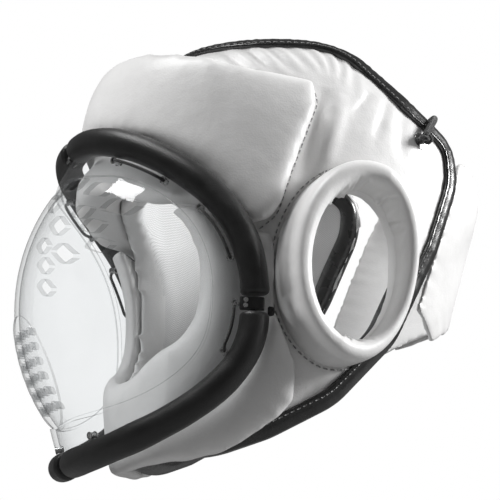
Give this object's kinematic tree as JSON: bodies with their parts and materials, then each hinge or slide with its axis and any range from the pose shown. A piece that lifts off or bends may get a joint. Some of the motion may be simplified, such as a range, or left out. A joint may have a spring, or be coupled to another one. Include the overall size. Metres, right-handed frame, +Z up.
{
  "type": "full-face sparring headgear",
  "caption": "Padded full-face sparring headgear with a clear domed face shield, a foam bumper laced round its rim, padded ear rings and an open back with a hook-and-loop flap.",
  "frame": {"origin": "middle of the wearer's head, midway between the ear canals", "axes": "+X towards the wearer's left ear, +Y towards the back of the head, +Z up; the face looks along -Y"},
  "size_m": [0.232, 0.2803, 0.2505],
  "materials": {
    "white_leather": "fine-grained synthetic leather, semi-gloss",
    "foam_core": "closed-cell foam",
    "lining": "smooth woven lining",
    "black_binding": "gloss synthetic leather with a stitch row",
    "clear_shield": "clear polished polycarbonate",
    "bumper_foam": "satin foam rubber",
    "bare_metal": "bright plated",
    "black_clip": "satin",
    "black_cord": "braided cord",
    "black_webbing": "woven webbing",
    "hook_and_loop": "hook and loop tape"
  },
  "bodies": {
    "shell": {"side_cover_left": "white_leather", "side_cover_right": "white_leather", "side_foam_left": "foam_core", "side_foam_right": "foam_core", "side_lining_left": "lining", "side_lining_right": "lining", "edge_binding_left": "black_binding", "edge_binding_right": "black_binding", "forehead_cover": "white_leather", "forehead_foam": "foam_core", "cheek_pad_left": "white_leather", "cheek_pad_right": "white_leather", "chin_cover": "white_leather", "chin_foam": "foam_core", "ear_cover_left": "white_leather", "ear_cover_right": "white_leather", "ear_foam_left": "foam_core", "ear_foam_right": "foam_core", "face_shield": "clear_shield", "bumper_upper_left": "bumper_foam", "bumper_upper_right": "bumper_foam", "bumper_lower_left": "bumper_foam", "bumper_lower_right": "bumper_foam", "bumper_clip_top": "bare_metal", "bumper_clip_bottom": "bare_metal", "side_clip_left": "black_clip", "side_clip_right": "black_clip", "clip_rivets": "bare_metal", "shield_eyelets": "bare_metal", "bumper_laces_left": "black_cord", "bumper_laces_right": "black_cord", "shield_strap_left": "black_webbing", "shield_strap_right": "black_webbing", "crown_cord": "black_cord", "cord_eyelets": "bare_metal", "cord_knots": "black_cord"},
    "flap": {"rear_flap": "white_leather", "flap_hook_patch": "hook_and_loop"},
    "wing": {"rear_wing": "white_leather", "wing_loop_patch": "hook_and_loop"}
  },
  "joints": [
    {"name": "flap_hinge", "type": "hinge", "parent": "shell", "child": "flap", "pos_m": [0.0687, 0.079, 0.076], "axis": [0.1986, -0.3505, -0.9152], "range_deg": [0, 100]},
    {"name": "wing_hinge", "type": "hinge", "parent": "shell", "child": "wing", "pos_m": [-0.0687, 0.079, 0.076], "axis": [0.1986, 0.3505, 0.9152], "range_deg": [0, 40]}
  ],
  "couplings": [
    {"joint": "wing_hinge", "follows": "flap_hinge", "ratio": 0.4}
  ]
}
